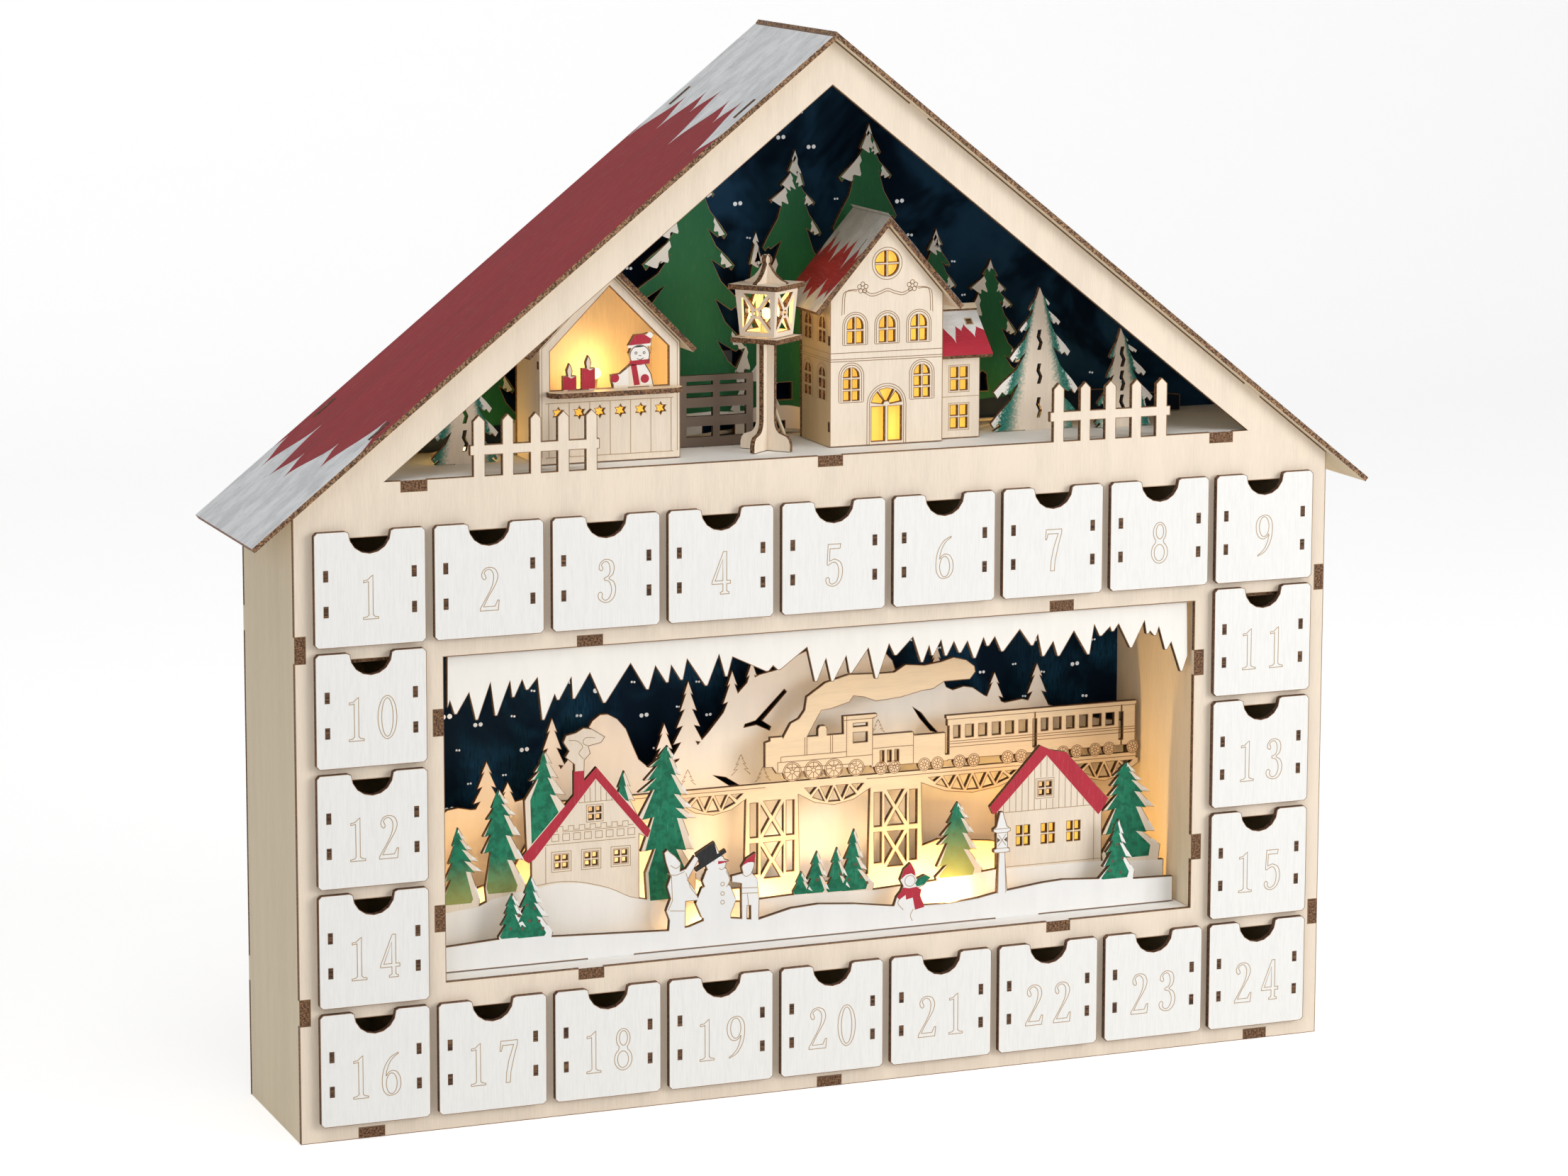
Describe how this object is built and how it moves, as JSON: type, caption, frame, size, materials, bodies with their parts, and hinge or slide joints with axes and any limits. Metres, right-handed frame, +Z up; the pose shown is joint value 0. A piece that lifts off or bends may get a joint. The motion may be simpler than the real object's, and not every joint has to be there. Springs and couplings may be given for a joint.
{
  "type": "led advent calendar",
  "caption": "Gabled plywood advent calendar with numbered drawers, a layered winter scene, an attic village and a battery string of lights.",
  "frame": {"origin": "middle of the footprint on the table, under the middle of the roof's depth", "axes": "+X to the right seen from the front, +Y to the back, +Z up"},
  "size_m": [0.4782, 0.0838, 0.4271],
  "materials": {
    "birch_ply": "bare pale birch plywood, laser-cut with charred edges",
    "drawer_ply": "matt white paint on the faces with engraved numbers, bare birch trays",
    "pale_ply": "bare pale plywood",
    "dark_ply": "dark brown stained plywood",
    "night_sky": "plywood painted night blue with pale stars",
    "red_paint": "matt red paint on plywood with white snow",
    "green_paint": "matt green paint on plywood with white snow",
    "snow_paint": "matt white paint on plywood",
    "black_plastic": "moulded matt",
    "grey_plastic": "moulded matt",
    "cell_steel": "wrapped steel can",
    "lamp_lead": "thin clear-sheathed lead with warm lamps"
  },
  "bodies": {
    "body": {"annex_roof": "red_paint", "annex_walls": "birch_ply", "attic_floor": "birch_ply", "back_panel": "night_sky", "battery_box": "black_plastic", "battery_cells": "cell_steel", "bottom_panel": "birch_ply", "fir_backdrop": "green_paint", "fir_far_right": "birch_ply", "fir_left": "birch_ply", "fir_right": "birch_ply", "front_panel": "birch_ply", "hill_with_houses": "birch_ply", "house_roof": "red_paint", "house_walls": "birch_ply", "icicle_valance": "snow_paint", "lantern_cage": "birch_ply", "lantern_post": "birch_ply", "led_string": "lamp_lead", "mountains": "birch_ply", "roof_left": "red_paint", "roof_right": "red_paint", "scene_ceiling": "birch_ply", "scene_floor": "birch_ply", "scene_wall_left": "birch_ply", "scene_wall_right": "birch_ply", "side_left": "pale_ply", "side_right": "pale_ply", "slatted_fence": "dark_ply", "snow_bank": "snow_paint", "stall_counter": "birch_ply", "stall_roof": "snow_paint", "stall_walls": "birch_ply", "train_and_bridge": "birch_ply"},
    "drawer_01": {"drawer_01": "drawer_ply"},
    "drawer_02": {"drawer_02": "drawer_ply"},
    "drawer_03": {"drawer_03": "drawer_ply"},
    "drawer_04": {"drawer_04": "drawer_ply"},
    "drawer_05": {"drawer_05": "drawer_ply"},
    "drawer_06": {"drawer_06": "drawer_ply"},
    "drawer_07": {"drawer_07": "drawer_ply"},
    "drawer_08": {"drawer_08": "drawer_ply"},
    "drawer_09": {"drawer_09": "drawer_ply"},
    "drawer_10": {"drawer_10": "drawer_ply"},
    "drawer_11": {"drawer_11": "drawer_ply"},
    "drawer_12": {"drawer_12": "drawer_ply"},
    "drawer_13": {"drawer_13": "drawer_ply"},
    "drawer_14": {"drawer_14": "drawer_ply"},
    "drawer_15": {"drawer_15": "drawer_ply"},
    "drawer_16": {"drawer_16": "drawer_ply"},
    "drawer_17": {"drawer_17": "drawer_ply"},
    "drawer_18": {"drawer_18": "drawer_ply"},
    "drawer_19": {"drawer_19": "drawer_ply"},
    "drawer_20": {"drawer_20": "drawer_ply"},
    "drawer_21": {"drawer_21": "drawer_ply"},
    "drawer_22": {"drawer_22": "drawer_ply"},
    "drawer_23": {"drawer_23": "drawer_ply"},
    "drawer_24": {"drawer_24": "drawer_ply"},
    "battery_cover": {"battery_cover": "black_plastic"},
    "battery_switch": {"battery_switch": "grey_plastic"}
  },
  "joints": [
    {"name": "drawer_01_slide", "type": "slide", "parent": "body", "child": "drawer_01", "axis": [0, -1, 0], "range_m": [0, 0.055]},
    {"name": "drawer_02_slide", "type": "slide", "parent": "body", "child": "drawer_02", "axis": [0, -1, 0], "range_m": [0, 0.055]},
    {"name": "drawer_03_slide", "type": "slide", "parent": "body", "child": "drawer_03", "axis": [0, -1, 0], "range_m": [0, 0.055]},
    {"name": "drawer_04_slide", "type": "slide", "parent": "body", "child": "drawer_04", "axis": [0, -1, 0], "range_m": [0, 0.055]},
    {"name": "drawer_05_slide", "type": "slide", "parent": "body", "child": "drawer_05", "axis": [0, -1, 0], "range_m": [0, 0.055]},
    {"name": "drawer_06_slide", "type": "slide", "parent": "body", "child": "drawer_06", "axis": [0, -1, 0], "range_m": [0, 0.055]},
    {"name": "drawer_07_slide", "type": "slide", "parent": "body", "child": "drawer_07", "axis": [0, -1, 0], "range_m": [0, 0.055]},
    {"name": "drawer_08_slide", "type": "slide", "parent": "body", "child": "drawer_08", "axis": [0, -1, 0], "range_m": [0, 0.055]},
    {"name": "drawer_09_slide", "type": "slide", "parent": "body", "child": "drawer_09", "axis": [0, -1, 0], "range_m": [0, 0.055]},
    {"name": "drawer_10_slide", "type": "slide", "parent": "body", "child": "drawer_10", "axis": [0, -1, 0], "range_m": [0, 0.055]},
    {"name": "drawer_11_slide", "type": "slide", "parent": "body", "child": "drawer_11", "axis": [0, -1, 0], "range_m": [0, 0.055]},
    {"name": "drawer_12_slide", "type": "slide", "parent": "body", "child": "drawer_12", "axis": [0, -1, 0], "range_m": [0, 0.055]},
    {"name": "drawer_13_slide", "type": "slide", "parent": "body", "child": "drawer_13", "axis": [0, -1, 0], "range_m": [0, 0.055]},
    {"name": "drawer_14_slide", "type": "slide", "parent": "body", "child": "drawer_14", "axis": [0, -1, 0], "range_m": [0, 0.055]},
    {"name": "drawer_15_slide", "type": "slide", "parent": "body", "child": "drawer_15", "axis": [0, -1, 0], "range_m": [0, 0.055]},
    {"name": "drawer_16_slide", "type": "slide", "parent": "body", "child": "drawer_16", "axis": [0, -1, 0], "range_m": [0, 0.055]},
    {"name": "drawer_17_slide", "type": "slide", "parent": "body", "child": "drawer_17", "axis": [0, -1, 0], "range_m": [0, 0.055]},
    {"name": "drawer_18_slide", "type": "slide", "parent": "body", "child": "drawer_18", "axis": [0, -1, 0], "range_m": [0, 0.055]},
    {"name": "drawer_19_slide", "type": "slide", "parent": "body", "child": "drawer_19", "axis": [0, -1, 0], "range_m": [0, 0.055]},
    {"name": "drawer_20_slide", "type": "slide", "parent": "body", "child": "drawer_20", "axis": [0, -1, 0], "range_m": [0, 0.055]},
    {"name": "drawer_21_slide", "type": "slide", "parent": "body", "child": "drawer_21", "axis": [0, -1, 0], "range_m": [0, 0.055]},
    {"name": "drawer_22_slide", "type": "slide", "parent": "body", "child": "drawer_22", "axis": [0, -1, 0], "range_m": [0, 0.055]},
    {"name": "drawer_23_slide", "type": "slide", "parent": "body", "child": "drawer_23", "axis": [0, -1, 0], "range_m": [0, 0.055]},
    {"name": "drawer_24_slide", "type": "slide", "parent": "body", "child": "drawer_24", "axis": [0, -1, 0], "range_m": [0, 0.055]},
    {"name": "battery_cover_slide", "type": "slide", "parent": "body", "child": "battery_cover", "axis": [-1, 0, 0], "range_m": [0, 0.045]},
    {"name": "battery_switch_slide", "type": "slide", "parent": "body", "child": "battery_switch", "axis": [0, 0, 1], "range_m": [0, 0.003]}
  ]
}
